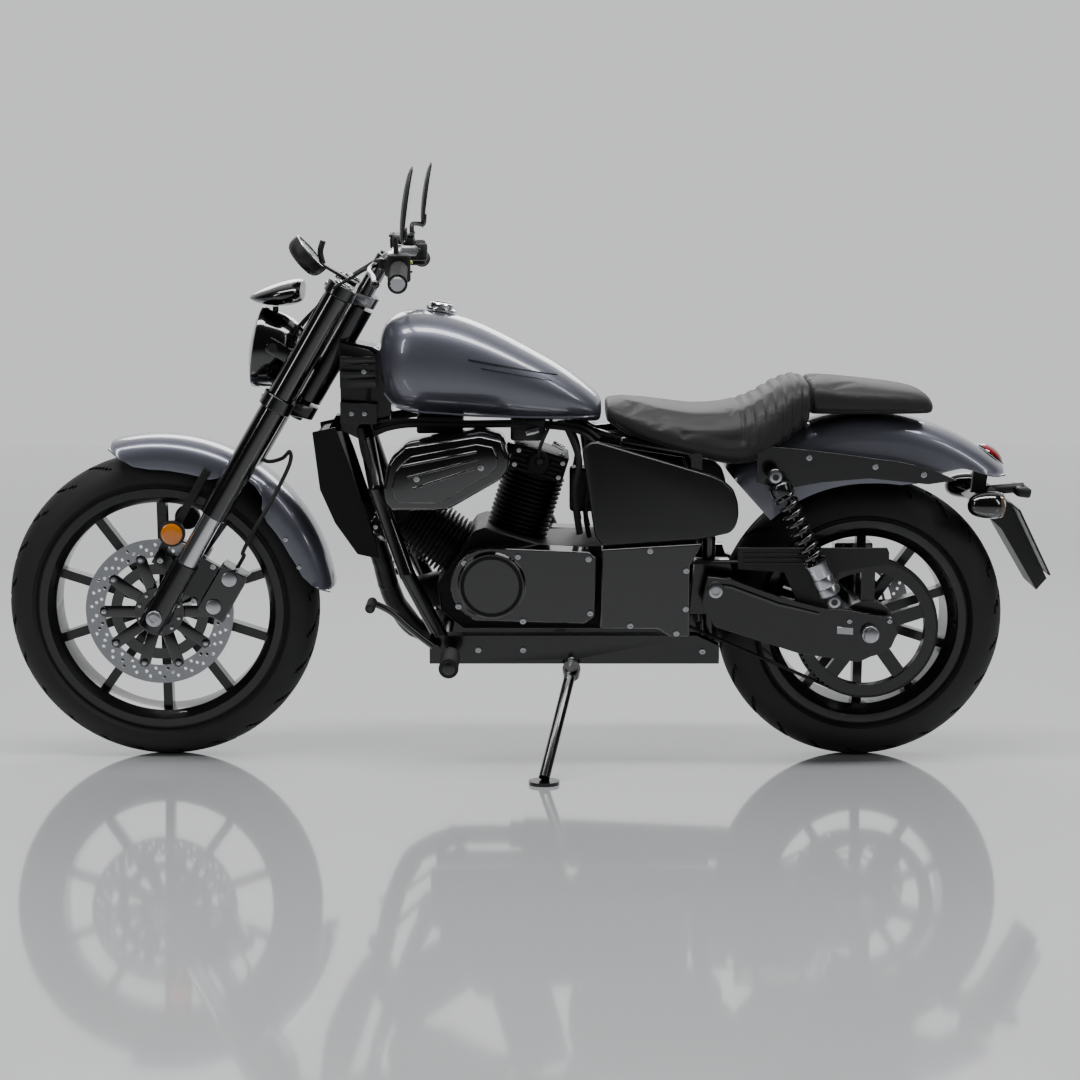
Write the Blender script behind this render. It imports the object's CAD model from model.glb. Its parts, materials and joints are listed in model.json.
import json
import math

import bmesh
import bpy
from mathutils import Matrix, Vector
from mathutils.bvhtree import BVHTree

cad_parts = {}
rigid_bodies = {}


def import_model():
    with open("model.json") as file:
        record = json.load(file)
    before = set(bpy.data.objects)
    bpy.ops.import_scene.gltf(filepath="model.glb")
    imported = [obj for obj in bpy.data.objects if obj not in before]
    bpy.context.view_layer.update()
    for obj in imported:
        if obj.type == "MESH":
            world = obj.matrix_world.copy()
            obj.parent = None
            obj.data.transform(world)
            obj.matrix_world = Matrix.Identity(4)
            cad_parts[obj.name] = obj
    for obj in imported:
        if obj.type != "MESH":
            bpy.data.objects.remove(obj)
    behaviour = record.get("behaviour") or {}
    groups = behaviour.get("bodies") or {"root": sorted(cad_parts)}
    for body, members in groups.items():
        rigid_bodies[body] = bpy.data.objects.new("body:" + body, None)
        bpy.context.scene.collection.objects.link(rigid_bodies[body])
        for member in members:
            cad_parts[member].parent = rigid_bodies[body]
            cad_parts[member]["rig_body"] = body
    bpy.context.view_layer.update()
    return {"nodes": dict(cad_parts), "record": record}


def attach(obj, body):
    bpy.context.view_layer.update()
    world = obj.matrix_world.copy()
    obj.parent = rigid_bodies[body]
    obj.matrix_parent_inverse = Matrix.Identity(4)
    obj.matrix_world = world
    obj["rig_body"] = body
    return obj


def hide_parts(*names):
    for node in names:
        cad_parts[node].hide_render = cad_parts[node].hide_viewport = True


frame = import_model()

# The bike's own upright frame, in mm: x to the rear, y to the rider's right, z up from the ground
bike = {
    "lean": 6, "rake": 30.5, "frontAxle": (-768, 318.3), "rearAxle": (661, 293.4),
    "middle": (-20.5, -108.3005),
    "crank": (-75, 372), "frontTilt": -55, "rearTilt": 17,
}
mm = 0.001
parked = (Matrix.Translation((-bike["middle"][0] * mm, -bike["middle"][1] * mm, 0))
          @ Matrix.Rotation(math.radians(bike["lean"]), 4, "X") @ Matrix.Scale(mm, 4))


def shifted(x, y, z):
    return Matrix.Translation((x, y, z))


def turned(degrees, axis):
    return Matrix.Rotation(math.radians(degrees), 4, axis)


def stretched(x, y, z):
    return Matrix.Diagonal((x, y, z, 1))


def upright(spot):
    return shifted(spot[0], 0, spot[1])


# Quarter turn that points the local z axis out of the given side
def facing(side):
    return turned(-90 * side, "X")


frontWheelFrame = parked @ upright(bike["frontAxle"]) @ facing(-1)
rearLocal = upright(bike["rearAxle"]) @ facing(-1)
rearWheelFrame = parked @ upright(bike["rearAxle"]) @ facing(-1)
forkLocal = upright(bike["frontAxle"]) @ turned(bike["rake"], "Y")


def mirrored(point, side):
    return (point[0], point[1] * side, point[2])
def srgb(code):
    values = [int(code[i:i + 2], 16) / 255 for i in (0, 2, 4)]
    return tuple(v / 12.92 if v <= 0.04045 else ((v + 0.055) / 1.055) ** 2.4 for v in values) + (1,)


def add(tree, kind, settings=None, links=None):
    node = tree.nodes.new(kind)
    for key, value in (settings or {}).items():
        if isinstance(key, int) or key in node.inputs:
            node.inputs[key].default_value = value
        else:
            setattr(node, key, value)
    for key, source in (links or {}).items():
        tree.links.new(source, node.inputs[key])
    return node


def newMaterial(name, settings):
    material = bpy.data.materials.new(name)
    material.use_nodes = True
    tree = material.node_tree
    tree.nodes.clear()
    shader = add(tree, "ShaderNodeBsdfPrincipled", settings)
    add(tree, "ShaderNodeOutputMaterial", {}, {"Surface": shader.outputs["BSDF"]})
    place = add(tree, "ShaderNodeTexCoord").outputs["Object"]
    return material, tree, shader, place


# The next three set one property of a surface from a texture's value
def tintBy(tree, shader, tones, share):
    tone = add(tree, "ShaderNodeMix", {"data_type": "RGBA", 6: srgb(tones[0]), 7: srgb(tones[1])}, {0: share})
    tree.links.new(tone.outputs[2], shader.inputs["Base Color"])


def glossBy(tree, shader, rough, value):
    gloss = add(tree, "ShaderNodeMapRange", {"To Min": rough[0], "To Max": rough[1]}, {"Value": value})
    tree.links.new(gloss.outputs["Result"], shader.inputs["Roughness"])


def reliefBy(tree, shader, strength, depth, height):
    bump = add(tree, "ShaderNodeBump", {"Strength": strength, "Distance": depth}, {"Height": height})
    tree.links.new(bump.outputs["Normal"], shader.inputs["Normal"])


def noise(tree, place, scale, detail):
    return add(tree, "ShaderNodeTexNoise", {"Scale": scale, "Detail": detail},
               {"Vector": place}).outputs["Fac"]


# Two noises set the gloss and the fine relief, and a pair of colours the faint unevenness
def surface(name, tones, rough, grain, relief, settings=None, drift=6):
    material, tree, shader, place = newMaterial(name, {"Base Color": srgb(tones[0]), **(settings or {})})
    patch = noise(tree, place, drift, 4)
    tintBy(tree, shader, tones, patch)
    glossBy(tree, shader, rough, patch)
    reliefBy(tree, shader, relief, grain * mm * 0.2, noise(tree, place, 1 / (grain * mm), 3))
    return material


# By slot: the finish's name, its two tones, least and most roughness, grain in mm, relief and other settings
finishes = {
    # Powder coat on the frame's tubes: near black, glossy, with the soft orange peel of baked powder
    "frame_black": ("powderCoat", ("050506", "08080a"), (0.16, 0.26), 1.2, 0.12, {"Coat Weight": 0.5}),
    # Painted aluminium castings: satin black with the fine grain of sand casting
    "engine_black": ("castBlack", ("040405", "070709"), (0.46, 0.6), 0.7, 0.35, {"Specular IOR Level": 0.26}),
    # Black enamel on pressed and cast covers: deep gloss with clean highlights
    "cover_black": ("blackEnamel", ("040405", "060607"), (0.1, 0.18), 1.6, 0.05,
                    {"Coat Weight": 1.0, "Coat Roughness": 0.05}),
    # Heat-proof paint on steel pipe: dull black, slightly browned
    "exhaust_black": ("heatPaint", ("050505", "090808"), (0.3, 0.46), 0.9, 0.2, {"Specular IOR Level": 0.32}),
    # Satin paint on the covers under the saddle: black with broad soft highlights
    "satin_black": ("satinPaint", ("060607", "09090a"), (0.3, 0.38), 1.0, 0.08),
    # Injection-moulded ABS, spark-eroded: dark grey with a fine grain
    "black_plastic": ("grainedPlastic", ("0b0b0c", "101011"), (0.42, 0.55), 0.5, 0.3),
    # Moulded gloss plastic: black and smooth
    "gloss_black_plastic": ("glossPlastic", ("050506", "08080a"), (0.12, 0.2), 2.0, 0.04,
                            {"Coat Weight": 0.6}),
    # Rubber of grips, pegs and hoses: matte and slightly grey where handled
    "rubber_black": ("mouldedRubber", ("0b0b0b", "121212"), (0.62, 0.78), 0.6, 0.35),
    # Tyre rubber: matte black with a dusty bloom
    "tyre_black": ("tyreRubber", ("090909", "111111"), (0.55, 0.75), 0.8, 0.4, {}, 9),
    # Painted cast wheel: satin black
    "rim_black": ("wheelPaint", ("060607", "0a0a0b"), (0.22, 0.34), 1.0, 0.12, {"Coat Weight": 0.4}),
    # Chrome plate on fasteners and caps: bright, nearly mirror
    "cap_chrome": ("chromePlate", ("c9cbce", "d6d8da"), (0.06, 0.14), 2.5, 0.03, {"Metallic": 1.0}),
    # Zinc-plated steel of axles and bolts: bright grey, softly polished
    "axle_steel": ("platedSteel", ("a9abae", "bcbec1"), (0.2, 0.34), 0.6, 0.1, {"Metallic": 1.0}),
    # Hard chrome on the fork's stanchions
    "tube_chrome": ("hardChrome", ("b9bbbe", "c6c8ca"), (0.1, 0.18), 1.5, 0.04, {"Metallic": 1.0}),
    # Blank painted plate
    "plate_white": ("platePaint", ("c9cacb", "d2d3d4"), (0.35, 0.45), 0.8, 0.05),
    # Dyed acrylic of the tail light: saturated, smooth, slightly clear
    "red_lens": ("redAcrylic", ("8c0f16", "a0141c"), (0.08, 0.14), 2.2, 0.2,
                 {"Transmission Weight": 0.35, "IOR": 1.49, "Coat Weight": 1.0}),
    # Dyed acrylic of the side reflectors
    "amber_lens": ("amberAcrylic", ("d97706", "ee9216"), (0.12, 0.2), 2.2, 0.4,
                   {"Transmission Weight": 0.25, "IOR": 1.49, "Coat Weight": 1.0}),
    # Smoked acrylic of the rear signals, faintly amber
    "smoked_lens": ("smokedAcrylic", ("5a4a38", "6b5840"), (0.08, 0.14), 2.2, 0.2,
                    {"Transmission Weight": 0.3, "IOR": 1.49, "Coat Weight": 1.0}),
    # Dark enamel line under the tank's lacquer
    "stripe": ("stripePaint", ("0b0b12", "101018"), (0.2, 0.28), 1.0, 0.03),
    # Waxed bonded thread, a shade paler than the vinyl it sews
    "thread": ("bondedThread", ("3b3836", "4a4644"), (0.6, 0.7), 0.4, 0.3),
    # Button plastic, yellow-green right through
    "yellow_mark": ("yellowButtonPlastic", ("b6bf2c", "c3cb3e"), (0.35, 0.45), 1.0, 0.05),
}
looks = {slotName: surface(*row) for slotName, row in finishes.items()}
looks["radiator_black"] = looks["engine_black"]


# Metallic lacquer on tank and fenders: blue-grey flake under clear coat, which sparkles where light grazes it
def greyLacquer():
    flake = {"size": 0.9, "dark": "52535e", "light": "6f707c", "spark": "b6b7c2", "sparkEnd": 0.03,
             "flakeEnd": 0.16,
             "cloud": 5, "rough": (0.28, 0.4)}
    material, tree, shader, place = newMaterial("metallicLacquer", {
        "Base Color": srgb(flake["light"]), "Metallic": 0.55, "Roughness": 0.34, "Coat Weight": 1.0,
        "Coat Roughness": 0.03})
    cells = add(tree, "ShaderNodeTexVoronoi", {"Scale": 1 / (flake["size"] * mm)}, {"Vector": place})
    ramp = add(tree, "ShaderNodeValToRGB", {}, {"Fac": cells.outputs["Distance"]})
    for stop, end, colour in zip(ramp.color_ramp.elements, ("sparkEnd", "flakeEnd"), ("spark", "light")):
        stop.position = flake[end]
        stop.color = srgb(flake[colour])
    tone = add(tree, "ShaderNodeMix", {"data_type": "RGBA", 7: srgb(flake["dark"])},
               {6: ramp.outputs["Color"], 0: noise(tree, place, flake["cloud"], 3)})
    tree.links.new(tone.outputs[2], shader.inputs["Base Color"])
    glossBy(tree, shader, flake["rough"], cells.outputs["Distance"])
    return material


# Vinyl over foam: matte black-brown, with a pebbled leather grain
def saddleVinyl():
    pebble = {"size": 1.4, "relief": 0.35, "depth": 0.0004, "tones": ("0c0b0b", "161413"),
              "rough": (0.5, 0.66), "wear": 7}
    material, tree, shader, place = newMaterial("grainedVinyl", {
        "Base Color": srgb("100f0e"), "Roughness": 0.6, "Sheen Weight": 0.08, "Sheen Roughness": 0.45})
    cells = add(tree, "ShaderNodeTexVoronoi", {"Scale": 1 / (pebble["size"] * mm), "feature": "F1"},
                {"Vector": place})
    wear = noise(tree, place, pebble["wear"], 5)
    tintBy(tree, shader, pebble["tones"], wear)
    glossBy(tree, shader, pebble["rough"], wear)
    reliefBy(tree, shader, pebble["relief"], pebble["depth"], cells.outputs["Distance"])
    return material


# Ground steel of the brake discs: concentric grinding marks, drawn about 1 mm apart so that they show
def groundSteel(name, wheelFrame):
    marks = {"scale": 900, "tones": ("77797c", "b4b6b9"), "relief": 0.25, "depth": 0.0002}
    material, tree, shader, place = newMaterial(name, {
        "Base Color": srgb("9c9ea1"), "Metallic": 1.0, "Roughness": 0.3})
    centre = wheelFrame @ Vector((0, 0, 0))
    local = add(tree, "ShaderNodeMapping", {"vector_type": "POINT", "Location": [-c for c in centre]},
                {"Vector": place})
    length = add(tree, "ShaderNodeVectorMath", {"operation": "LENGTH"}, {0: local.outputs["Vector"]})
    rings = add(tree, "ShaderNodeTexNoise", {"noise_dimensions": "1D", "Scale": marks["scale"], "Detail": 3},
                {"W": length.outputs["Value"]}).outputs["Fac"]
    tintBy(tree, shader, marks["tones"], rings)
    reliefBy(tree, shader, marks["relief"], marks["depth"], rings)
    return material


# Clear polycarbonate of the headlight, and silvered glass of the mirrors
def clearLens(name, settings):
    material, tree, shader, place = newMaterial(name, settings)
    reliefBy(tree, shader, 0.04, 0.0006, noise(tree, place, 60, 2))
    return material


looks["tank_paint"] = greyLacquer()
looks["saddle_vinyl"] = saddleVinyl()
looks["disc_steel"] = groundSteel("groundSteel", frontWheelFrame)
rearSteel = groundSteel("groundSteelRear", rearWheelFrame)
looks["lamp_glass"] = clearLens("clearPolycarbonate", {
    "Base Color": srgb("f2f5f7"), "Roughness": 0.03, "Transmission Weight": 0.95, "IOR": 1.58, "Alpha": 0.5})
looks["mirror_glass"] = clearLens("silveredGlass",
                                  {"Base Color": srgb("d5d8db"), "Roughness": 0.02, "Metallic": 1.0})
print("materials made", len(looks))


def turnSmooth(mesh, angle):
    mesh.shade_smooth()
    mesh.set_sharp_from_angle(angle=math.radians(angle))


def newObject(name, data):
    made = bpy.data.objects.new(name, data)
    bpy.context.scene.collection.objects.link(made)
    return made


def reshape(piece, kind, **settings):
    modifier = piece.modifiers.new(kind.lower(), kind)
    for key, value in settings.items():
        setattr(modifier, key, value)


# Built in the bike's mm, so that edges round evenly, then set in place;
# angle is the sharpest edge kept smooth, in degrees
def finishPiece(name, bm, slotName, body="body", angle=35, place=parked, outward=True, look=None,
                replaces=()):
    bmesh.ops.remove_doubles(bm, verts=bm.verts, dist=1e-4)
    if outward:
        bmesh.ops.recalc_face_normals(bm, faces=bm.faces)
    bmesh.ops.transform(bm, matrix=place, verts=bm.verts)
    mesh = bpy.data.meshes.new(name)
    bm.to_mesh(mesh)
    bm.free()
    piece = newObject(name, mesh)
    mesh.materials.append(look or looks[slotName])
    turnSmooth(mesh, angle)
    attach(piece, body)
    if replaces:
        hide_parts(*replaces)
    return piece


def edgesOf(verts):
    return {edge for vert in verts for edge in vert.link_edges}


def roundEdges(bm, edges, width, segments=2, clamp=False):
    bmesh.ops.bevel(bm, geom=list(edges), offset=width, segments=segments, profile=0.5, affect="EDGES",
                    material=-1,
                    clamp_overlap=clamp)


# Outline points (x, z) made a block from y0 to y1, with its edges rounded
def addPlate(bm, points, y0, y1, round, segments):
    verts = [bm.verts.new((x, y0, z)) for x, z in points]
    out = bmesh.ops.extrude_face_region(bm, geom=[bm.faces.new(verts)])
    moved = [g for g in out["geom"] if isinstance(g, bmesh.types.BMVert)]
    bmesh.ops.translate(bm, verts=moved, vec=(0, y1 - y0, 0))
    roundEdges(bm, edgesOf(verts + moved), round, segments, True)


def addBox(bm, size, place, round=1.5, segments=2):
    out = bmesh.ops.create_cube(bm, size=1, matrix=place @ stretched(*size))
    if round:
        roundEdges(bm, edgesOf(out["verts"]), round, segments)


def addDrum(bm, radius, depth, place, radius2=None, round=0.0, sides=32):
    out = bmesh.ops.create_cone(bm, cap_ends=True, segments=sides, radius1=radius,
                                radius2=radius if radius2 is None else radius2, depth=depth, matrix=place)
    if round:
        roundEdges(bm, [e for e in edgesOf(out["verts"]) if any(len(f.verts) > 4 for f in e.link_faces)],
                   round)


# A profile of (radius, height) points turned about the local z axis
def addSpun(bm, profile, steps=64, place=None, closed=False):
    before = set(bm.verts)
    verts = [bm.verts.new((r, 0, z)) for r, z in profile]
    edges = [bm.edges.new(pair) for pair in zip(verts, verts[1:])]
    if closed:
        edges.append(bm.edges.new((verts[-1], verts[0])))
    bmesh.ops.spin(bm, geom=verts + edges, cent=(0, 0, 0), axis=(0, 0, 1), angle=math.tau, steps=steps,
                   use_merge=True)
    bmesh.ops.remove_doubles(bm, verts=[v for v in bm.verts if v not in before], dist=1e-3)
    if place is not None:
        bmesh.ops.transform(bm, matrix=place, verts=[v for v in bm.verts if v not in before])


# A smooth run that passes through every chosen point
def smoothRun(points, steps=8):
    points = [Vector(point) for point in points]
    run = []
    for i in range(len(points) - 1):
        a, b = points[max(i - 1, 0)], points[i]
        c, d = points[i + 1], points[min(i + 2, len(points) - 1)]
        for k in range(steps + (i == len(points) - 2)):
            t = k / steps
            run.append(0.5 * (2 * b + (c - a) * t + (2 * a - 5 * b + 4 * c - d) * t * t
                              + (3 * b - a - 3 * c + d) * t ** 3))
    return run


def pathCurve(name, run, radius, resolution):
    data = bpy.data.curves.new(name, "CURVE")
    data.dimensions = "3D"
    spline = data.splines.new("POLY")
    spline.points.add(len(run) - 1)
    for target, point in zip(spline.points, run):
        target.co = (*point, 1)
    data.bevel_depth = radius
    data.bevel_resolution = resolution
    data.use_fill_caps = True
    return data


# A round bar or hose through the points, bent smoothly
def addTube(bm, points, radius, sides=12, smooth=True, place=None):
    data = pathCurve("path", smoothRun(points) if smooth else points, radius, max(1, sides // 4 - 1))
    holder = bpy.data.objects.new("path", data)
    mesh = bpy.data.meshes.new_from_object(holder)
    if place is not None:
        mesh.transform(place)
    bm.from_mesh(mesh)
    bpy.data.objects.remove(holder)
    bpy.data.curves.remove(data)
    bpy.data.meshes.remove(mesh)


# Points of a coil spring about the local z axis
def coilPath(radius, turns, start, stop, steps=160):
    angles = [math.tau * turns * i / steps for i in range(steps + 1)]
    return [Vector((radius * math.cos(angle), radius * math.sin(angle), start + (stop - start) * i / steps))
            for i, angle in enumerate(angles)]


def between(a, b):
    a, b = Vector(a), Vector(b)
    return (Matrix.Translation((a + b) / 2) @ (b - a).to_track_quat("Z", "Y").to_matrix().to_4x4(),
            (b - a).length)


def addRod(bm, a, b, radius, radius2=None, round=0.0, sides=24):
    place, length = between(a, b)
    addDrum(bm, radius, length, place, radius2, round, sides)


# Socket-head bolt: a drum with a round well, its head along the local z axis
def addBolt(bm, place, radius=6, height=6):
    before = set(bm.verts)
    out = bmesh.ops.create_cone(bm, cap_ends=True, segments=18, radius1=radius, radius2=radius, depth=height)
    top = max({f for v in out["verts"] for f in v.link_faces}, key=lambda f: f.calc_center_median().z)
    rims = list(top.edges)
    bmesh.ops.inset_region(bm, faces=[top], thickness=radius * 0.45, depth=0)
    bmesh.ops.inset_region(bm, faces=[top], thickness=0.05, depth=-height * 0.45)
    roundEdges(bm, [e for e in rims if e.is_valid], radius * 0.14)
    bmesh.ops.transform(bm, matrix=place, verts=[v for v in bm.verts if v not in before])


# Rows of bolts seen from the side: how far out, on which sides, radius, height and their (x, z)
def addBoltRows(bm, rows):
    for level, sides, radius, height, spots in rows:
        for side in sides:
            for x, z in spots:
                addBolt(bm, shifted(x, side * level, z) @ facing(side), radius, height)


def ringSpots(centre, radius, angles):
    return [(centre[0] + radius * math.cos(math.radians(a)), centre[1] + radius * math.sin(math.radians(a)))
            for a in angles]


def bodyOfNode(name):
    return frame["nodes"][name].get("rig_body") or next(
        body for body, nodes in frame["record"]["behaviour"]["bodies"].items() if name in nodes)


# The hard edges of machined and cast pieces are broken, so that they catch the light
softened = {
    "frame": 2.0, "engine_block": 4.0, "engine_covers": 5.0, "pulley_cover": 4.0, "exhaust": 1.5,
    "neck_covers": 2.0, "fender_struts": 2.5, "plate_holder": 2.5, "swingarm": 3.0, "rear_axle": 1.0,
    "rear_caliper": 3.0, "triple_clamps": 2.5, "fork_covers": 1.5, "fork_tubes": 1.0, "fork_sliders": 2.0,
    "front_axle": 1.0, "front_caliper": 3.5, "handlebar": 1.0, "side_stand": 1.5, "radiator": 1.5,
    "front_rim": 2.5, "rear_rim": 2.5, "rear_pulley": 1.5, "cylinders": 0.7, "belt_guard": 1.2,
    "drive_belt": 0.5,
}


def soften(name, width):
    bm = bmesh.new()
    bm.from_mesh(frame["nodes"][name].data)
    bmesh.ops.remove_doubles(bm, verts=bm.verts, dist=2e-6)
    bmesh.ops.dissolve_limit(bm, angle_limit=math.radians(0.6), verts=bm.verts, edges=bm.edges)
    mesh = bpy.data.meshes.new(name + "Shown")
    bm.to_mesh(mesh)
    bm.free()
    piece = newObject(name + "Shown", mesh)
    mesh.materials.append(looks[slotOfNode[name]])
    turnSmooth(mesh, 30)
    reshape(piece, "BEVEL", width=width * mm, segments=2, limit_method="ANGLE", angle_limit=math.radians(35),
            use_clamp_overlap=True)
    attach(piece, bodyOfNode(name))
    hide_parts(name)


slotOfNode = {row["node"]: row["material_slot"] for row in frame["record"]["subparts"]}
for nodeName, node in frame["nodes"].items():
    node.data.materials.clear()
    node.data.materials.append(looks[slotOfNode[nodeName]])
for nodeName, width in softened.items():
    soften(nodeName, width)
print("cad pieces softened", len(softened))
view = {"place": (0.0245, -4.0897, 0.834), "tip": 84.71, "lens": 67.73}
camera = newObject("camera", bpy.data.cameras.new("camera"))
camera.location = view["place"]
camera.rotation_euler = (math.radians(view["tip"]), 0, 0)
camera.data.lens = view["lens"]
camera.data.sensor_width = 36
bpy.context.scene.camera = camera

studio = {"floor": ("c9cacc", "cfd0d2"), "size": 14, "sky": "e9eaec", "skyPower": 0.05, "skyShown": 0.98}
floorMesh = bmesh.new()
bmesh.ops.create_grid(floorMesh, x_segments=1, y_segments=1, size=studio["size"])
floorData = bpy.data.meshes.new("studioFloor")
floorMesh.to_mesh(floorData)
floorMesh.free()
floor = newObject("studioFloor", floorData)
# Polished pale floor with a clear sealer, which mirrors the wheels faintly
floorData.materials.append(surface("polishedFloor", studio["floor"], (0.07, 0.1), 40, 0.01,
                                   {"Coat Weight": 1.0, "Coat Roughness": 0.05, "Coat IOR": 1.6}, 1))

# The sky is pale to the eye but gives little light, so that black paint stays black under the lamps
world = bpy.data.worlds.new("studioSky")
bpy.context.scene.world = world
world.use_nodes = True
sky = world.node_tree
sky.nodes.clear()
seen = add(sky, "ShaderNodeLightPath").outputs["Is Camera Ray"]
heading = add(sky, "ShaderNodeSeparateXYZ", {},
              {0: add(sky, "ShaderNodeTexCoord").outputs["Generated"]}).outputs["Y"]
behind = add(sky, "ShaderNodeMapRange", {"From Min": 0.05, "From Max": 0.5}, {"Value": heading})
most = add(sky, "ShaderNodeMath", {"operation": "MAXIMUM"}, {0: seen, 1: behind.outputs["Result"]})
power = add(sky, "ShaderNodeMapRange", {"To Min": studio["skyPower"], "To Max": studio["skyShown"]},
            {"Value": most.outputs[0]})
pale = add(sky, "ShaderNodeBackground", {"Color": srgb(studio["sky"])}, {"Strength": power.outputs["Result"]})
add(sky, "ShaderNodeOutputWorld", {}, {"Surface": pale.outputs["Background"]})

lamps = {
    "ceiling": {"place": (0.0, -0.8, 3.6), "aim": (0, 0, 0.4), "size": (4.6, 0.7), "power": 170},
    "frontStrip": {"place": (-3.2, -2.6, 2.3), "aim": (-0.4, 0, 0.6), "size": (0.35, 2.2), "power": 26},
    "rearStrip": {"place": (3.0, -2.4, 2.2), "aim": (0.4, 0, 0.5), "size": (0.35, 2.2), "power": 22},
    "back": {"place": (0.0, 3.2, 2.6), "aim": (0, 0, 0.5), "size": (4.0, 1.2), "power": 80},
}
for lampName, lamp in lamps.items():
    data = bpy.data.lights.new(lampName, "AREA")
    data.shape = "RECTANGLE"
    data.size, data.size_y = lamp["size"]
    data.energy = lamp["power"]
    holder = newObject(lampName, data)
    holder.location = lamp["place"]
    holder.rotation_euler = (Vector(lamp["aim"]) - Vector(lamp["place"])).to_track_quat("-Z", "Y").to_euler()
print("camera and lights set")
# Lengths in mm; a row of tread faces spans "row" degrees of the section, a groove repeats every "pitch" steps
tyres = {
    "front": {"radius": 318, "crown": 55, "bead": 241, "steps": 264},
    "rear": {"radius": 293, "crown": 70, "bead": 203, "steps": 242},
    "wall": 9, "row": 6, "pitch": 11, "groove": 4,
}
wheelFrames = {"front": frontWheelFrame, "rear": rearWheelFrame}

# The carcass is spun, then every few degrees a slanted row of its faces is sunk as a groove
def makeTyre(end):
    bm = bmesh.new()
    r, crown, bead, steps = tyres[end].values()
    wall, row = tyres["wall"], tyres["row"]
    seat, lip, core = crown * 0.8, bead + 13, r - crown
    outer = [(bead, seat), (bead + 6, seat + 1.5), (lip, seat)]
    outer += [(core + crown * math.sin(a), crown * math.cos(a))
              for a in map(math.radians, range(0, 181, row))]
    outer += [(lip, -seat), (bead + 6, -seat - 1.5), (bead, -seat)]
    inner = [(lip, -seat + wall), (core, -crown + wall), (r - 14, 0), (core, crown - wall),
             (lip, seat - wall)]
    addSpun(bm, outer + inner, steps, closed=True)
    sunk = []
    for face in bm.faces:
        centre = face.calc_center_median()
        radial = math.hypot(centre.x, centre.y)
        if math.hypot(radial - core, centre.z) <= crown - 5:
            continue
        across = math.degrees(math.atan2(centre.z, radial - core))
        turn = round(math.atan2(centre.y, centre.x) / (math.tau / steps))
        rank = round(abs(across) / row)
        slant = turn + rank if across > 0 else turn - rank + 4
        if 2 <= rank <= 8 and slant % tyres["pitch"] < 2 or rank == 1 and across > 0:
            sunk.append(face)
    bmesh.ops.inset_region(bm, faces=sunk, thickness=0.8, depth=0)
    bmesh.ops.inset_region(bm, faces=sunk, thickness=0.4, depth=-tyres["groove"])
    finishPiece(end + "TyreTreaded", bm, "tyre_black", end + "_wheel", 32, wheelFrames[end],
                replaces=(end + "_tyre",))


makeTyre("front")
makeTyre("rear")
print("tyres made")

discs = {
    "front": {"outer": 150, "inner": 112, "z": 66, "rows": (120, 129, 138),
              "holes": 30, "hole": 3.6, "arms": 10, "hub": 50},
    "rear": {"outer": 120, "inner": 86, "z": -101, "rows": (93, 103, 112),
             "holes": 24, "hole": 3.2, "arms": 5, "hub": 56},
    "thick": 5, "slant": 0.33, "bore": 30,
}


# Brake ring with rows of drilled holes, cut from a flat sheet and given its thickness
def makeDisc(end, look):
    bm = bmesh.new()
    disc = discs[end]
    for radius in (disc["outer"], disc["inner"]):
        bmesh.ops.create_circle(bm, segments=120, radius=radius)
    for i in range(disc["holes"]):
        for row, radius in enumerate(disc["rows"]):
            angle = math.tau * (i + row * discs["slant"]) / disc["holes"]
            spot = shifted(radius * math.cos(angle), radius * math.sin(angle), 0)
            bmesh.ops.create_circle(bm, segments=10, radius=disc["hole"], matrix=spot)
    bmesh.ops.triangle_fill(bm, use_beauty=True, use_dissolve=False, edges=bm.edges, normal=(0, 0, 1))
    out = bmesh.ops.extrude_face_region(bm, geom=bm.faces[:])
    moved = [g for g in out["geom"] if isinstance(g, bmesh.types.BMVert)]
    bmesh.ops.translate(bm, verts=moved, vec=(0, 0, discs["thick"]))
    bmesh.ops.translate(bm, verts=bm.verts, vec=(0, 0, disc["z"]))
    finishPiece(end + "BrakeRing", bm, "disc_steel", end + "_wheel", 30, wheelFrames[end], look=look)


makeDisc("front", looks["disc_steel"])
makeDisc("rear", rearSteel)


# Black carrier inside each brake ring, with its buttons
def makeCarrier(end):
    bm, bright = bmesh.new(), bmesh.new()
    arms, hub, ring, z0 = (discs[end][key] for key in ("arms", "hub", "inner", "z"))
    thick, bore = discs["thick"], discs["bore"]
    z1, web, rim = z0 + thick, (hub + ring) / 2 - 4, ring - 13
    addSpun(bm, [(bore, z0), (hub, z0), (hub, z1 + 3), (bore, z1 + 3)], 48, closed=True)
    addSpun(bm, [(web, z0 + 0.5), (rim, z0 + 0.5), (rim, z1 - 0.5), (web, z1 - 0.5)], 72, closed=True)
    for i in range(arms):
        turn, middle = turned(i * 360 / arms, "Z"), z0 + thick / 2
        addBox(bm, (ring - hub + 14, 24, thick), turn @ shifted((ring + hub) / 2, 0, middle), 1.5)
        addDrum(bm, 9, thick + 3, turn @ shifted(ring + 1, 0, middle), round=1)
        for z in (z1 + 2, z0 - 2):
            addDrum(bright, 5, 2.4, turn @ shifted(ring + 1, 0, z), round=0.6, sides=16)
        nut = turned((i + 0.5) * 360 / arms, "Z") @ shifted(hub - 9, 0, z1 + 4)
        addDrum(bright, 4.5, 4, nut, round=0.8, sides=6)
    name, wheel, place = end + "DiscCarrier", end + "_wheel", wheelFrames[end]
    finishPiece(name, bm, "cover_black", wheel, place=place, replaces=(end + "_disc",))
    finishPiece(name + "Buttons", bright, "axle_steel", wheel, place=place)


makeCarrier("front")
makeCarrier("rear")
print("discs made")
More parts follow.
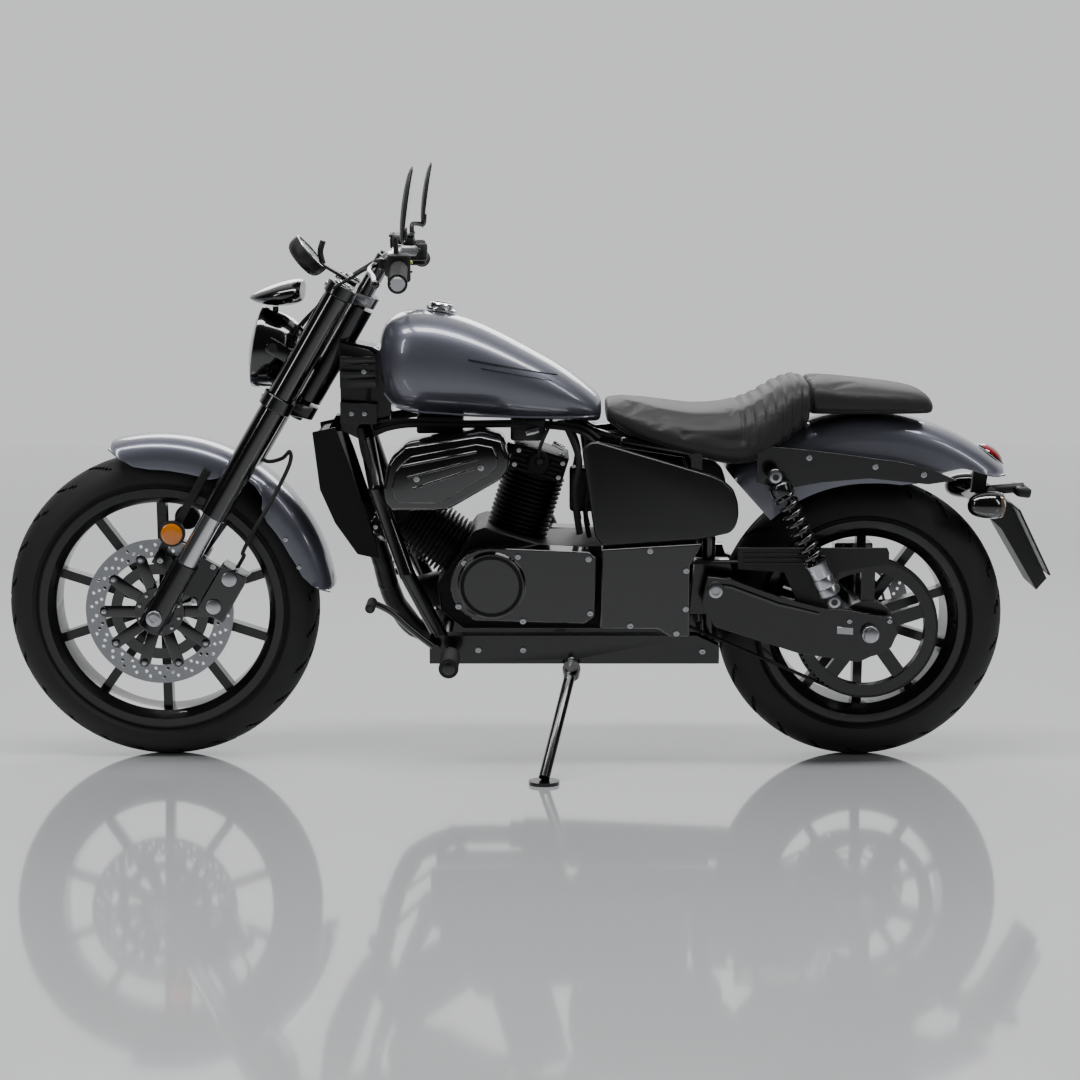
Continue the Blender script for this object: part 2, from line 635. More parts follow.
# Closed ring across the bike: a rounded outline of given half width, top and bottom
def sectionRing(bm, x, half, top, bottom, power, steps=48):
    out = bmesh.ops.create_circle(bm, segments=steps, radius=1)
    mid, tall = (top + bottom) / 2, (top - bottom) / 2
    for vert in out["verts"]:
        across, up = (math.copysign(abs(c) ** (2 / power), c) for c in vert.co.xy)
        vert.co = (x, half * across, mid + tall * up)
    return out["verts"]


def bridgeRings(bm, rings):
    for pair in zip(rings, rings[1:]):
        edges = [e for ring in pair for e in edgesOf(ring) if e.verts[0] in ring and e.verts[1] in ring]
        bmesh.ops.bridge_loops(bm, edges=edges)
    bm.faces.new(rings[0])
    bm.faces.new(rings[-1])


# Sections from the front: x, share of the half width, drop of the top, drop of the bottom and squareness
tank = {
    "halfW": 128, "top": 926, "seam": 2.2, "seamIn": 0.93, "seamUp": 17,
    "rows": [(-318, 0.30, 66, 112, 2.2), (-314, 0.5, 44, 150, 2.3), (-304, 0.68, 24, 178, 2.35),
             (-284, 0.84, 8, 199, 2.4),
             (-260, 0.93, 1.5, 207, 2.5), (-228, 0.98, 0.6, 211, 2.55), (-190, 1.0, 4, 213, 2.55),
             (-140, 0.99, 17, 217, 2.5), (-80, 0.94, 42, 220, 2.45), (-20, 0.865, 74.5, 223, 2.4),
             (40, 0.76, 107, 225, 2.3), (84, 0.65, 138, 226, 2.2), (112, 0.54, 162, 226, 2.15),
             (129, 0.42, 178, 225, 2.0)],
}


def makeTank():
    bm, seam = bmesh.new(), bmesh.new()
    w, top, rows = tank["halfW"], tank["top"], tank["rows"]
    bridgeRings(bm, [sectionRing(bm, x, f * w, top - a, top - b, p, 56) for x, f, a, b, p in rows])
    piece = finishPiece("tankShell", bm, "tank_paint", angle=60, replaces=("fuel_tank",))
    reshape(piece, "SUBSURF", levels=2, render_levels=2)
    # Rolled seam where the tank's halves are welded, low on both sides
    for side in (-1, 1):
        path = [(x, side * (f * w * tank["seamIn"]), top - b + tank["seamUp"])
                for x, f, a, b, p in rows[2:-1]]
        addTube(seam, path, tank["seam"], 8)
    finishPiece("tankSeam", seam, "tank_paint")
    return piece


tankShell = makeTank()


# In mm below the fender's radius down to "meet",
# then the sheet's thickness, its rolled edge and steps round the wheel
fender = {"roll": 48, "lip": 84, "end": 110, "sides": 60, "meet": 50, "sheet": 3, "edge": 0.9, "steps": 72}


# Fender: a rounded sheet profile swept round the wheel, its lower edge following a height for each angle
def makeFender(end, radius, half, fromAngle, toAngle, skirt, body):
    bm = bmesh.new()
    roll, lip, tip = radius - fender["roll"], radius - fender["lip"], radius - fender["end"]
    crown = []
    for a in map(math.radians, range(0, 181, 10)):
        rise = fender["roll"] * math.sin(a) ** 0.8 if a else 0
        crown.append((roll + rise, half * math.copysign(abs(math.cos(a)) ** 0.7, math.cos(a))))
    profile = [(tip, half), (lip, half)] + crown + [(lip, -half), (tip, -half)]
    verts = [bm.verts.new((r, 0, z)) for r, z in profile]
    edges = [bm.edges.new(pair) for pair in zip(verts, verts[1:])]
    bmesh.ops.rotate(bm, verts=verts, cent=(0, 0, 0), matrix=turned(fromAngle, "Z"))
    bmesh.ops.spin(bm, geom=verts + edges, cent=(0, 0, 0), axis=(0, 0, 1),
                   angle=math.radians(toAngle - fromAngle), steps=fender["steps"])
    for vert in bm.verts:
        r = math.hypot(vert.co.x, vert.co.y)
        edge = skirt(math.degrees(math.atan2(vert.co.y, vert.co.x)))
        if r < radius - fender["sides"]:
            share = (r - tip) / (roll - tip)
            target = edge + share * (roll - edge) if edge < radius - fender["meet"] else edge
            vert.co.xy = vert.co.xy * (target / r)
        elif r < edge:
            vert.co.xy = vert.co.xy * (edge / r)
    bmesh.ops.remove_doubles(bm, verts=bm.verts, dist=0.2)
    piece = finishPiece(end + "FenderSheet", bm, "tank_paint", body, 60, wheelFrames[end],
                        replaces=(end + "_fender",))
    reshape(piece, "SOLIDIFY", thickness=fender["sheet"] * mm, offset=-1)
    reshape(piece, "BEVEL", width=fender["edge"] * mm, segments=2, limit_method="ANGLE",
            angle_limit=math.radians(60))


# Lower edge by angle (0 to the rear, 90 up), as straight runs between named corners
def runsOf(corners):
    def height(angle):
        for (a0, r0), (a1, r1) in zip(corners, corners[1:]):
            if a0 <= angle <= a1:
                return r0 + (r1 - r0) * (angle - a0) / (a1 - a0)
        return corners[0][1] if angle < corners[0][0] else corners[-1][1]
    return height


frontSkirt = runsOf([(7, 350), (9, 318), (14, 300), (24, 291), (40, 289), (45, 300), (48, 322), (52, 330),
                     (57, 331), (61, 322), (64, 306), (68, 292), (80, 290), (92, 292), (98, 300), (102, 318),
                     (105, 346)])
rearSkirt = runsOf([(49, 412), (50.5, 398), (54, 384), (60, 372), (66, 340), (72, 306), (78, 295), (90, 292),
                    (132, 292)])
makeFender("front", 355, 73, 7, 105, frontSkirt, "fork")
makeFender("rear", 424, 92, 49, 132, rearSkirt, "body")
print("tank and fenders made")
# Lengths in mm; "lift" is how far above the pad's underside the cloth may move
pads = {"voxel": 5.5, "pressure": 4, "frames": 16, "cap": 7, "fill": 0.8, "lift": 30, "stretch": 30,
        "bend": 4}
channels = {"from": 404, "to": 524, "count": 7, "width": 4.2, "depth": 3.6, "low": 664, "fade": 14}
stitch = {"count": 62, "from": -16, "sweep": 212, "height": 705, "low": 676, "radius": 0.7, "length": 3.4}
unpark = parked.inverted()


# The pad is blown up a little as cloth, held along its underside
def clothPad(piece, bottom):
    reshape(piece, "REMESH", mode="VOXEL", voxel_size=pads["voxel"] * mm, use_smooth_shade=True)
    graph = bpy.context.evaluated_depsgraph_get()
    old = piece.data
    piece.data = bpy.data.meshes.new_from_object(piece.evaluated_get(graph))
    piece.data.materials.clear()
    piece.data.materials.append(looks["saddle_vinyl"])
    bpy.data.meshes.remove(old)
    piece.modifiers.clear()
    group = piece.vertex_groups.new(name="base")
    spots = [unpark @ v.co for v in piece.data.vertices]
    group.add([i for i, spot in enumerate(spots) if spot.z < bottom(spot.x)], 1, "REPLACE")
    cloth = piece.modifiers.new("filling", "CLOTH").settings
    cloth.use_pressure = True
    cloth.uniform_pressure_force = pads["pressure"]
    cloth.vertex_group_mass = "base"
    cloth.effector_weights.gravity = 0
    cloth.tension_stiffness = cloth.compression_stiffness = pads["stretch"]
    cloth.bending_stiffness = pads["bend"]
    start = [v.co.copy() for v in piece.data.vertices]
    scene = bpy.context.scene
    for number in range(1, pads["frames"] + 1):
        scene.frame_set(number)
    graph = bpy.context.evaluated_depsgraph_get()
    done = bpy.data.meshes.new_from_object(piece.evaluated_get(graph))
    piece.modifiers.clear()
    cap = pads["cap"] * mm
    for vert, was, now in zip(piece.data.vertices, start, done.vertices):
        step = now.co - was
        vert.co = was + step * min(1, cap / step.length if step.length > 0 else 1)
    bpy.data.meshes.remove(done)
    scene.frame_set(1)


def makePad(name, rows, half, node):
    bm = bmesh.new()
    spans = smoothRun([(x, f, top) for x, f, top, low, p in rows], 6)
    lows = smoothRun([(low, p, 0) for x, f, top, low, p in rows], 6)
    bridgeRings(bm, [sectionRing(bm, a.x, a.y * half, a.z, b.x, b.y, 72) for a, b in zip(spans, lows)])
    piece = finishPiece(name, bm, "saddle_vinyl", angle=80, replaces=(node,))
    clothPad(piece, lambda x: min(rows, key=lambda r: abs(r[0] - x))[3] + pads["lift"])
    bm = bmesh.new()
    bm.from_mesh(piece.data)
    bmesh.ops.subdivide_edges(bm, edges=bm.edges, cuts=1, use_grid_fill=True)
    bmesh.ops.smooth_vert(bm, verts=bm.verts, factor=0.5, use_axis_x=True, use_axis_y=True, use_axis_z=True)
    return piece, bm


def closePad(piece, bm):
    bm.to_mesh(piece.data)
    bm.free()
    piece.data.shade_smooth()


# Sections from the front: x, share of the half width, top, underside and squareness

riderRows = [(137, .54, 741, 706, 3), (150, .65, 744, 695, 3), (200, .83, 738, 667, 3),
             (260, .94, 730, 649, 3),
             (320, .985, 724, 633, 3), (380, .985, 729, 620, 3), (430, .985, 745, 624, 3),
             (474, .95, 771, 646, 3),
             (506, .87, 789, 674, 3), (524, .83, 792, 690, 3), (537, .79, 787, 700, 3)]
pillionRows = [(543, .94, 787, 719, 3.2), (556, .975, 790, 719, 3.2), (602, .985, 785, 719, 3.2),
               (690, .945, 777, 719, 3.2), (740, .89, 771, 719, 3.2), (772, .79, 762, 719, 3),
               (787, .66, 748, 719, 2.6)]
seams = [channels["from"] + (channels["to"] - channels["from"]) * i / (channels["count"] - 1)
         for i in range(channels["count"])]


# A stitched channel crosses the pad at each seam; the thread lies in it in short dashes
def sewChannels(piece, bm):
    for vert in bm.verts:
        spot = unpark @ vert.co
        fade = max(0.0, min(1.0, (spot.z - channels["low"]) / channels["fade"]))
        deep = sum(math.exp(-((spot.x - x) / channels["width"]) ** 2) for x in seams)
        vert.co -= vert.normal * (channels["depth"] * mm * min(1, deep) * fade)
    closePad(piece, bm)
    bm = bmesh.new()
    tree = BVHTree.FromObject(piece, bpy.context.evaluated_depsgraph_get())
    z, radius = stitch["height"], stitch["radius"] * mm
    for x in seams:
        for i in range(stitch["count"]):
            angle = math.radians(stitch["from"] + stitch["sweep"] * i / (stitch["count"] - 1))
            away = parked @ Vector((x, 300 * math.cos(angle), z + 300 * math.sin(angle)))
            middle = parked @ Vector((x, 60 * math.cos(angle), z + 10 * math.sin(angle)))
            hit, normal = tree.ray_cast(away, (middle - away).normalized())[:2]
            if hit is None or (unpark @ hit).z < stitch["low"]:
                continue
            across = (parked.to_3x3() @ Vector((1, 0, 0))).cross(normal).normalized()
            turn = across.to_track_quat("Z", "Y").to_matrix().to_4x4()
            bmesh.ops.create_cone(bm, cap_ends=True, segments=6, radius1=radius, radius2=radius,
                                  depth=stitch["length"] * mm, matrix=Matrix.Translation(hit) @ turn)
    finishPiece("saddleThread", bm, "saddle_vinyl", place=Matrix.Identity(4), look=looks["thread"])


riderPad, riderMesh = makePad("riderPad", riderRows, 142, "rider_saddle")
sewChannels(riderPad, riderMesh)
pillionPad, pillionMesh = makePad("pillionPad", pillionRows, 108, "pillion_saddle")
closePad(pillionPad, pillionMesh)

# Piping or a stripe along a cover on both sides, laid on it by looking inwards at it
def layPiping(name, piece, xs, height, radius=2.2, look=None, slotName="saddle_vinyl"):
    bm = bmesh.new()
    tree = BVHTree.FromObject(piece, bpy.context.evaluated_depsgraph_get())
    for side in (-1, 1):
        inwards = (parked.to_3x3() @ Vector((0, -side, 0))).normalized()
        hits = [tree.ray_cast(parked @ Vector((x, side * 300, height(x))), inwards)[0] for x in xs]
        run = [unpark @ hit for hit in hits if hit is not None]
        if len(run) > 2:
            addTube(bm, run, radius, 8)
    finishPiece(name, bm, slotName, look=look)


def heightFrom(rows, lift=13):
    return runsOf([(row[0], row[3] + lift) for row in rows])


def stripeFrom(height):
    return lambda x: height - 0.2 * (x + 136)


layPiping("tankStripe", tankShell, range(-136, 44, 6), stripeFrom(836), 1.5, looks["stripe"], "tank_paint")
layPiping("tankStripeThin", tankShell, range(-112, 30, 6), stripeFrom(824), 0.9, looks["stripe"],
          "tank_paint")
layPiping("riderPiping", riderPad, range(156, 532, 12), heightFrom(riderRows))
layPiping("pillionPiping", pillionPad, range(550, 778, 12), heightFrom(pillionRows))
print("saddle made")

headlight = {"centre": (-561, 0, 849), "tip": 99, "ears": 73, "up": 587, "flutes": (62, 13, 1.2)}
lampFrame = shifted(*headlight["centre"]) @ turned(headlight["tip"], "Y")
def makeLamp():
    bm = bmesh.new()
    addSpun(bm, [(0, 92), (18, 91.5), (34, 89), (48, 83), (59, 74), (67, 60), (73, 44), (77, 26), (79, 14),
                 (80, 8), (80, 0), (76, -1.5), (75, 2), (75, 12), (72, 30), (60, 56), (30, 70), (0, 74)], 96,
                 lampFrame)
    for side in (-1, 1):
        addBox(bm, (82, 10, 30), forkLocal @ shifted(-35, side * headlight["ears"], headlight["up"]), 3)
        addRod(bm, *(forkLocal @ Vector((-62, side * y, headlight["up"])) for y in (66, 84)), 9)
    addDrum(bm, 6, 18.7, shifted(-526, 0, 921))
    finishPiece("lampBowl", bm, "cover_black", "fork", replaces=("headlight",))
    bm = bmesh.new()
    addSpun(bm, [(74, 11), (66, 34), (52, 52), (30, 64), (14, 67), (0, 67)], 64, lampFrame)
    addSpun(bm, [(0, 30), (9, 32), (11, 40), (11, 66)], 24, lampFrame)
    finishPiece("lampReflector", bm, "cap_chrome", "fork", outward=False)
    bm = bmesh.new()
    addSpun(bm, [(74.5, 10), (74.5, -2), (70, -5), (54, -11.5), (30, -16.5), (0, -18.5), (0, -16), (30, -14),
                 (54, -9), (70, -2.5), (71.5, 10)], 96, lampFrame, closed=True)
    reach, pitch, thick = headlight["flutes"]
    for x in range(-4 * pitch, 4 * pitch + 1, pitch):
        width = math.sqrt(reach ** 2 - x ** 2)
        flute = [(-width, -6), (-width / 2, -10), (0, -12), (width / 2, -10), (width, -6)]
        addTube(bm, [Vector((x, y, z)) for y, z in flute], thick, 8, place=lampFrame)
    finishPiece("lampLens", bm, "lamp_glass", "fork", replaces=("headlight_lens",))
    bm = bmesh.new()
    bezel = [(75, -3), (78, -5), (81, -3), (82, 4), (81, 12), (79.5, 12), (79.5, 0), (76, -1)]
    addSpun(bm, bezel, 96, lampFrame, closed=True)
    finishPiece("lampBezel", bm, "cover_black", "fork")
    bm = bmesh.new()
    rows = [(-578, 10, 950, 946, 2), (-568, 34, 958, 940, 2), (-550, 52, 967, 934, 2),
            (-530, 66, 975, 932, 2),
            (-508, 73, 982, 931, 2), (-486, 75, 986, 934, 2), (-466, 73, 986, 941, 2)]
    bridgeRings(bm, [sectionRing(bm, *row, 40) for row in rows])
    visor = finishPiece("visorCowl", bm, "gloss_black_plastic", "fork", 60, replaces=("visor",))
    reshape(visor, "SUBSURF", levels=1, render_levels=1)


makeLamp()

gauge = {"centre": (-451, 0, 1038), "tip": 50, "depth": 34, "marks": 25, "degrees": 10, "needle": 70}
gaugeFrame = shifted(*gauge["centre"]) @ turned(gauge["tip"], "Y") @ shifted(0, 0, -gauge["depth"])


def makeGauge():
    bm = bmesh.new()
    addSpun(bm, [(0, 0), (22, 0), (30, 1.5), (37, 5), (41, 10), (43.5, 17), (44, 24), (44, 32), (42.5, 34),
                 (40, 34), (39, 32), (39, 29), (0, 29)], 72, gaugeFrame)
    addBox(bm, (88, 28, 6), forkLocal @ shifted(-28, 0, 770.3), 2)
    addTube(bm, [Vector((-62, 0, 772)), Vector((-78, 0, 790)), Vector((-84, 0, 812))], 6, 12, place=forkLocal)
    finishPiece("gaugeCase", bm, "black_plastic", "fork", replaces=("gauge",))
    bm = bmesh.new()
    addDrum(bm, 38.6, 1, gaugeFrame @ shifted(0, 0, 32.2))
    finishPiece("gaugeGlass", bm, "gloss_black_plastic", "fork")
    bm = bmesh.new()
    for i in range(gauge["marks"]):
        turn = turned(i * gauge["degrees"] - 30, "Z")
        addBox(bm, (3 if i % 3 else 5, 0.9, 0.5), gaugeFrame @ turn @ shifted(33, 0, 32.9), 0)
    addBox(bm, (26, 1.4, 0.6), gaugeFrame @ turned(gauge["needle"], "Z") @ shifted(13, 0, 33.1), 0)
    addSpun(bm, [(39, 34), (40.5, 35), (42.5, 34.6), (43, 33.4)], 72, gaugeFrame, closed=True)
    finishPiece("gaugeMarks", bm, "axle_steel", "fork")


makeGauge()
print("lamp and gauge made")

barEnd, barInner = Vector((-254, 390, 1002)), Vector((-262, 222, 1028))


def onBar(back):
    return barEnd + (barInner - barEnd) * back / (barInner - barEnd).length


# A spot beside the bar, by its distance in from the bar's end, and the bar's own frame there
def nearBar(back, side, x=0, y=0, z=0):
    return Vector(mirrored(onBar(back), side)) + Vector((x, y, z))


def barFrame(side, back):
    return between(nearBar(back + 1, side), nearBar(back, side))[0]


mirror = {"centre": (-238, 330, 1141), "tip": 8, "half": (52.5, 71), "face": 2.8, "back": 10.6,
          "glass": (48, 66.5), "proud": 2.9}


def makeBars():
    grip, box, blade, metal, glass, shell, mark, red = (bmesh.new() for _ in range(8))
    ribs = [(11.4, -61)] + [(17 if i % 2 else 15.6, -60 + i * 4) for i in range(30)]
    ribs += [(18.5, 58), (18.5, 61), (11.4, 61)]
    for side in (-1, 1):
        addSpun(grip, ribs, 28, barFrame(side, 62), closed=True)
        addSpun(metal, [(0, 0), (12, 0), (14, 3), (12, 7), (0, 7)], 24, barFrame(side, 1))
        addBox(box, (46, 38, 22), barFrame(side, 150) @ shifted(-4, 0, 0), 6, 3)
        addBox(box, (44, 54, 15), barFrame(side, 134), 6, 3)
        addBox(box, (30, 22, 20), barFrame(side, 156) @ turned(20, "Z"), 4, 3)
        pivot = nearBar(150, side) + Vector((-34, 0, 5))
        addRod(box, nearBar(150, side, -6, 0, 2), pivot, 9, round=1)
        addDrum(box, 10, 18, shifted(*pivot), round=1.5)
        addDrum(metal, 5, 21, shifted(*pivot), round=1, sides=6)
        path = [pivot, nearBar(138, side, -50, 0, 2), nearBar(104, side, -54), nearBar(60, side, -46),
                nearBar(8, side, -41, 0, -2)]
        addTube(blade, path, 5.6, 12)
        bmesh.ops.create_uvsphere(blade, u_segments=16, v_segments=10, radius=8, matrix=shifted(*path[-1]))
        # Mirror: stem, dished shell and glass
        stem = [nearBar(144, side, -4, 0, 20), nearBar(144, side, -6, side * 6, 56),
                Vector((-258, side * 290, 1082)), Vector((-246, side * 318, 1080)),
                Vector((-244, side * 330, 1100))]
        addTube(shell, stem, 5, 12)
        addDrum(shell, 9, 16, shifted(*(stem[0] + Vector((0, 0, -4)))), round=1.5)
        look = shifted(*mirrored(mirror["centre"], side)) @ turned(mirror["tip"], "Y")
        for vert in bmesh.ops.create_uvsphere(shell, u_segments=40, v_segments=24, radius=1)["verts"]:
            flat = mirror["face"] if vert.co.x > 0 else mirror["back"]
            vert.co = look @ Vector((vert.co.x * flat, vert.co.y * mirror["half"][0],
                                     vert.co.z * mirror["half"][1]))
        for vert in bmesh.ops.create_circle(glass, cap_ends=True, segments=48, radius=1)["verts"]:
            vert.co = look @ Vector((mirror["proud"], vert.co.x * mirror["glass"][0],
                                     vert.co.y * mirror["glass"][1]))
    # Reservoir on the right, with its lid and screws
    spot = nearBar(148, 1, -26, 0, 22)
    addBox(box, (50, 40, 26), shifted(*spot) @ turned(8, "X"), 5, 3)
    addBox(box, (54, 44, 5), shifted(*(spot + Vector((0, 0, 15)))) @ turned(8, "X"), 2)
    for x in (-18, 18):
        addDrum(metal, 3, 2, shifted(*(spot + Vector((x, 0, 18)))), sides=12)
    # Buttons face the rider
    addBox(mark, (5, 9, 6), shifted(*nearBar(146, -1, 23, 0, 8)), 1)
    addBox(red, (5, 14, 5), shifted(*nearBar(146, -1, 23, 3, -9)), 1)
    addBox(red, (5, 10, 8), shifted(*nearBar(146, 1, 23, 0, 8)), 1)
    finishPiece("gripRubber", grip, "rubber_black", "fork", 50, replaces=("grips",))
    finishPiece("switchBoxes", box, "black_plastic", "fork", replaces=("hand_controls",))
    finishPiece("leverBlades", blade, "frame_black", "fork", 60)
    finishPiece("barEnds", metal, "axle_steel", "fork")
    finishPiece("mirrorShells", shell, "black_plastic", "fork", 50, replaces=("mirrors",))
    finishPiece("mirrorGlass", glass, "cap_chrome", "fork", look=looks["mirror_glass"], outward=False)
    finishPiece("yellowButton", mark, "amber_lens", "fork", look=looks["yellow_mark"])
    finishPiece("redSwitch", red, "red_lens", "fork")


makeBars()

# Radii and routes of the three free hoses, in mm, all on the fork
hoses = {
    "brake": 4, "cable": 3.2,
    "brakeRoute": [(-538.6, -40, 746.4), (-552, -42, 722), (-566, -44, 690), (-569, -44, 664),
                   (-566, -42, 640),
                   (-546, -40, 622), (-516, -42, 628), (-498, -56, 644), (-496, -84, 622), (-526, -118, 560),
                   (-562, -138, 500), (-588, -120, 452), (-592, -84, 436), (-608.3, -76, 408)],
    "cableRoute": [(-300, 236, 1026), (-326, 222, 1018), (-356, 190, 1000), (-396, 130, 975), (-430, 84, 940),
                   (-470, 56, 900), (-492, 46, 868)],
}
def makeHose(name, route, radius, replaced=()):
    run = [parked @ point for point in smoothRun(route, 10)]
    data = pathCurve(name, run, radius * mm, 3)
    data.materials.append(looks["rubber_black"])
    piece = newObject(name, data)
    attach(piece, "fork")
    if replaced:
        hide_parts(*replaced)
    length = sum((b - a).length for a, b in zip(run, run[1:]))
    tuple(run[0])
    print(name, "length", round(length, 3))


makeHose("brakeHose", hoses["brakeRoute"], hoses["brake"], ("brake_hose",))
for name, side in (("leftCable", -1), ("rightCable", 1)):
    makeHose(name, [mirrored(point, side) for point in hoses["cableRoute"]], hoses["cable"])
print("bar and hoses made")
# On the fork's own axes: behind the leg's middle, how far out, and how far up the leg
reflector = {"behind": -56, "out": 76.7, "strap": 210.3, "tab": 299.3, "lamp": (-54, 160)}


def makeReflectors():
    strap, lens = bmesh.new(), bmesh.new()
    for side in (-1, 1):
        y, x = side * reflector["out"], reflector["behind"]
        addBox(strap, (16, 5, 192), forkLocal @ shifted(x, y + side * 2.5, reflector["strap"]), 1.5)
        addBox(strap, (16, 6, 14), forkLocal @ shifted(x, y - side * 0.5, reflector["tab"]), 1.5)
        place = forkLocal @ shifted(reflector["lamp"][0], y + side * 5, reflector["lamp"][1]) @ facing(side)
        addSpun(strap, [(0, 0), (24, 0), (26, 3), (26, 16), (24, 17), (22, 17), (22, 12), (0, 12)], 48, place)
        addSpun(lens, [(0, 12.4), (21.6, 12.4), (21.6, 17.5), (18, 19.4), (9, 20), (0, 20)], 48, place)
    finishPiece("reflectorStraps", strap, "black_plastic", "fork", replaces=("front_reflectors",))
    finishPiece("reflectorLenses", lens, "amber_lens", "fork")


makeReflectors()


shock = {"top": (462, 615), "low": (583, 366), "out": 176, "coil": 18.6, "wire": 4.4, "turns": 8}


def makeShocks():
    black, silver, coil = bmesh.new(), bmesh.new(), bmesh.new()
    run, rise = shock["top"][0] - shock["low"][0], shock["top"][1] - shock["low"][1]
    tilt, long = math.degrees(math.atan2(run, rise)), math.hypot(run, rise)
    eye = [(7.6, -13), (14, -13), (15, -12), (15, 12), (14, 13), (7.6, 13)]
    cup = [(0, -40), (22, -40), (23, -36), (23, -22), (20, -17), (9, -10), (0, -10)]
    body = [(0, 12), (18, 12), (22, 16), (22.5, 30), (21.5, 32), (22.5, 34), (22.5, 52), (21.5, 54),
            (22.5, 56), (22.5, 76), (23.5, 79), (23.5, 84), (15, 87), (0, 87)]
    for side in (-1, 1):
        place = shifted(shock["low"][0], side * shock["out"], shock["low"][1]) @ turned(tilt, "Y")
        for z in (0, long):
            addSpun(black, eye, 32, place @ shifted(0, 0, z) @ facing(-1), closed=True)
        addSpun(black, [(6, 78), (6, long - 10)], 24, place)
        addSpun(black, [(r, long + z) for r, z in cup], 48, place)
        addSpun(silver, body, 48, place)
        addTube(coil, coilPath(shock["coil"], shock["turns"], 88, long - 42), shock["wire"], 12, False, place)
    finishPiece("shockBodies", black, "frame_black", replaces=("shocks",))
    finishPiece("shockLowers", silver, "axle_steel")
    finishPiece("shockSprings", coil, "cover_black", angle=60)


makeShocks()

left, right, both = (-1,), (1,), (-1, 1)
bodyBolts = [
    # Left engine cover, belt-end cover, lower rails, air cleaner and fender struts
    (151.5, left, 6.2, 6, [(-146, 437), (-40, 449), (100, 444), (104, 334), (-30, 318), (-158, 348)]),
    (148.2, left, 6.2, 6, [(184, 308), (276, 292), (294, 342), (294, 420), (222, 460)]),
    (128.4, both, 6.2, 6, [(-120, 253), (-30, 253), (330, 250)]),
    (218.2, left, 6.2, 6, [(-234, 616), (-110, 638)]),
    (131, both, 6.2, 6, [(534, 644), (665, 626), (761, 610)]),
    # Swing pivot caps, the shocks' studs and the axle plates
    (162, both, 14, 8, [(352, 381)]),
    (190, both, 12, 10, [(462, 615), (583, 366)]),
    (153, both, 5, 5, [(620, 318), (700, 318)]),
    # Right engine cover
    (147, right, 6, 5, ringSpots((-80, 388), 66, range(90, 253, 27))),
    (147, right, 6, 5, [(0, 452), (80, 452), (146, 446), (172, 414), (170, 352), (120, 330), (40, 322),
                        (-20, 318)]),
]
forkBolts = [(136, both, 14, 8, [bike["frontAxle"]]),
             (74, both, 5, 4, ringSpots(bike["frontAxle"], 300, (18, 30)))]


def makeBolts():
    bm = bmesh.new()
    addBoltRows(bm, bodyBolts)
    for side in both:
        addDrum(bm, 15, 12, shifted(661, side * 172, 293.4) @ facing(side), round=1.5, sides=6)
    finishPiece("bodyBolts", bm, "axle_steel")
    bm = bmesh.new()
    addBoltRows(bm, forkBolts)
    for side in both:
        for z in (500, 754):
            addBolt(bm, forkLocal @ shifted(-30, side * 105, z) @ turned(-90, "Y"), 5, 8)
        addBolt(bm, forkLocal @ shifted(0, side * 105, 770), 13, 6)
        addBolt(bm, forkLocal @ shifted(-48, side * 96, 101) @ facing(side), 6, 5)
    addBolt(bm, forkLocal @ shifted(40, 0, 791), 18, 10)
    # The caliper's two bolts and the caps of its pistons, on the left only
    for z in (64, 146):
        addBolt(bm, forkLocal @ shifted(50, -104, z) @ facing(-1), 6, 5)
    cap = [(0, 0), (14, 0), (15, 2), (15, 5), (13, 6), (0, 6)]
    for z in (72, 138):
        addSpun(bm, cap, 32, forkLocal @ shifted(90, -97, z) @ facing(-1))
    addDrum(bm, 7, 12, shifted(-609, -76, 404), sides=6)
    finishPiece("forkBolts", bm, "axle_steel", "fork")


makeBolts()


def makeFuelCap():
    bm = bmesh.new()
    place = shifted(-194, 0, 922.3) @ turned(9, "Y")
    lid = [(0, 0), (31, 0), (31.5, 1.5), (31, 4), (28, 5.4), (25, 5.4), (24, 6), (24, 13), (22.5, 15),
           (19, 15.6), (0, 15.6)]
    addSpun(bm, lid, 72, place)
    for i in range(6):
        addBolt(bm, place @ turned(i * 60, "Z") @ shifted(28, 0, 5.4), 2.2, 1.6)
    addBox(bm, (30, 7, 3), place @ shifted(0, 0, 16.2), 1)
    finishPiece("fuelCap", bm, "cap_chrome", replaces=("fuel_cap",))


makeFuelCap()
print("hardware made")
def makeCovers():
    bm = bmesh.new()
    for side in (-1, 1):
        points = [(87, 654), (91, 668), (104, 677), (118, 677), (340, 611), (366, 600), (386, 582),
                  (395, 556), (397, 530),
                  (392, 508), (380, 494), (320, 481), (129, 467), (114, 486), (110, 502)]
        addPlate(bm, points, side * 128.3, side * 146, 7, 4)
    finishPiece("satinSideCovers", bm, "cover_black", angle=50, look=looks["satin_black"],
                replaces=("side_covers",))
    bm = bmesh.new()
    outline = [(-258, 676), (-280, 657), (-292, 640), (-301, 594), (-298, 566), (-284, 550), (-176, 551),
               (-72, 611), (-58, 630), (-56, 654), (-68, 688), (-112, 698)]
    face = [(-246, 660), (-264, 646), (-276, 632), (-284, 598), (-280, 574), (-266, 566), (-190, 567),
            (-96, 621), (-78, 636), (-76, 656), (-86, 678), (-118, 684)]
    addPlate(bm, outline, -75, -205, 9, 4)
    addPlate(bm, face, -200, -217, 5, 3)
    for low in (0, 1, 2):
        addRod(bm, (-262 + low * 10, -216, 640 - low * 22), (-118 + low * 4, -216, 668 - low * 14), 3,
               sides=12)
    addTube(bm, [(-52.6, -32, 638), (-84, -32, 648), (-112, -40, 655), (-140, -80, 650)], 20, 20)
    finishPiece("airCleanerPod", bm, "cover_black", angle=40, replaces=("air_cleaner",))


makeCovers()


